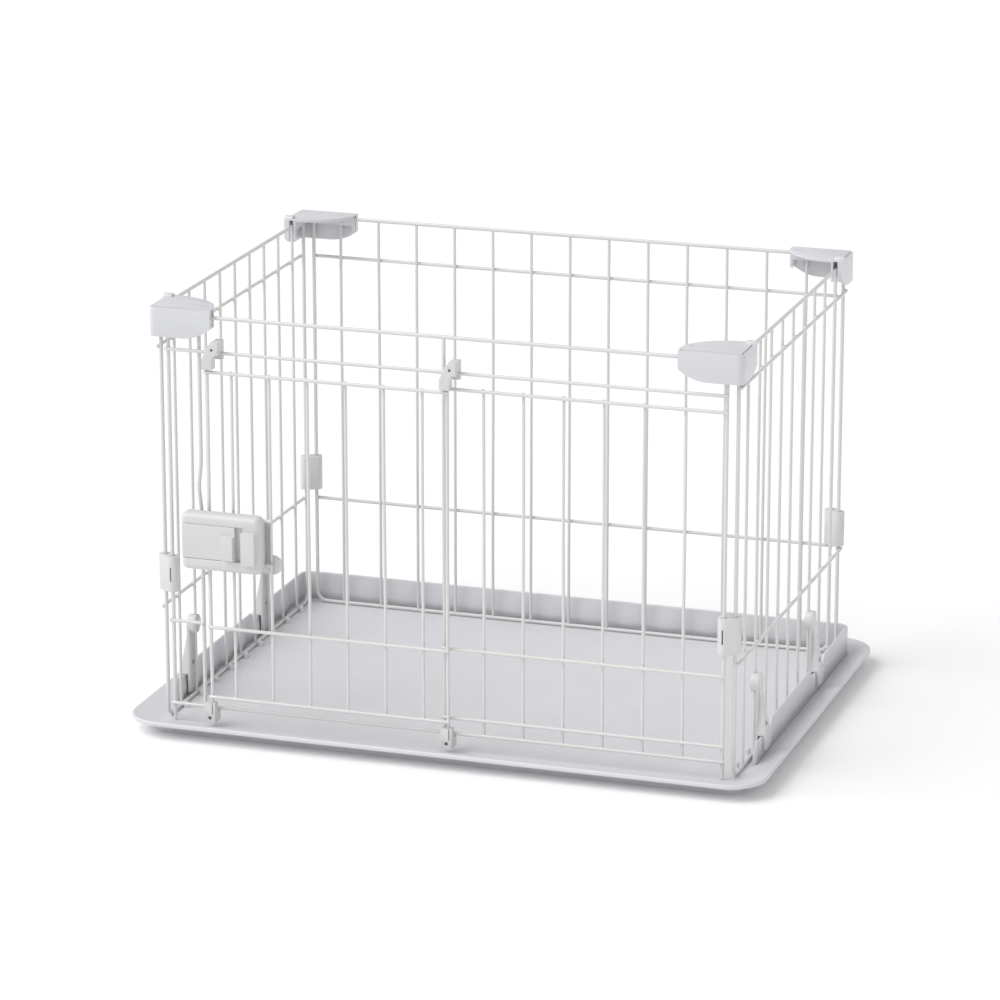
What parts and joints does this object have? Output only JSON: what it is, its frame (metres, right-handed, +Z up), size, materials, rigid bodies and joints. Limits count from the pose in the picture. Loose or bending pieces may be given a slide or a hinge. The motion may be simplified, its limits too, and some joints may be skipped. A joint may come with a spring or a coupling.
{
  "type": "pet pen",
  "caption": "Low wire pet pen on a moulded floor tray, with a sliding wire door on the front, a pinch lock, corner caps and clips.",
  "frame": {"origin": "on the floor, under the middle of the tray", "axes": "+X along the front panel to the right, +Y from the front panel to the back panel, +Z up"},
  "size_m": [0.672, 0.49, 0.4555],
  "materials": {
    "tray_plastic": "satin",
    "fitting_plastic": "satin",
    "coated_wire": "gloss",
    "lock_plastic": "satin",
    "spring_steel": "satin"
  },
  "bodies": {
    "base": {"tray": "tray_plastic", "tray_clip_left_front": "fitting_plastic", "tray_clip_left_rear": "fitting_plastic", "tray_clip_right_front": "fitting_plastic", "tray_clip_right_rear": "fitting_plastic"},
    "enclosure": {"back_panel": "coated_wire", "left_panel": "coated_wire", "right_panel": "coated_wire", "front_panel": "coated_wire", "corner_cap_front_left": "tray_plastic", "corner_cap_front_right": "tray_plastic", "corner_cap_back_left": "tray_plastic", "corner_cap_back_right": "tray_plastic", "side_clip_front_left": "fitting_plastic", "side_clip_front_right": "fitting_plastic", "side_clip_back_left": "fitting_plastic", "side_clip_back_right": "fitting_plastic"},
    "door": {"door_panel": "coated_wire", "door_hook_left": "lock_plastic", "door_hook_right": "lock_plastic", "door_guide_left": "lock_plastic", "door_guide_right": "lock_plastic", "lock_body": "lock_plastic", "lock_back_plate": "lock_plastic", "lock_spring": "spring_steel", "lock_screws": "spring_steel"},
    "slider": {"lock_slider": "lock_plastic"}
  },
  "joints": [
    {"name": "enclosure_lift", "type": "slide", "parent": "base", "child": "enclosure", "axis": [0, 0, 1], "range_m": [0, 0.06]},
    {"name": "door_slide", "type": "slide", "parent": "enclosure", "child": "door", "axis": [1, 0, 0], "range_m": [0, 0.225]},
    {"name": "lock_press", "type": "slide", "parent": "door", "child": "slider", "axis": [1, 0, 0], "range_m": [0, 0.008], "stiffness_N_per_m": 250, "springref_m": -0.008, "deforming": ["lock_spring"]}
  ]
}
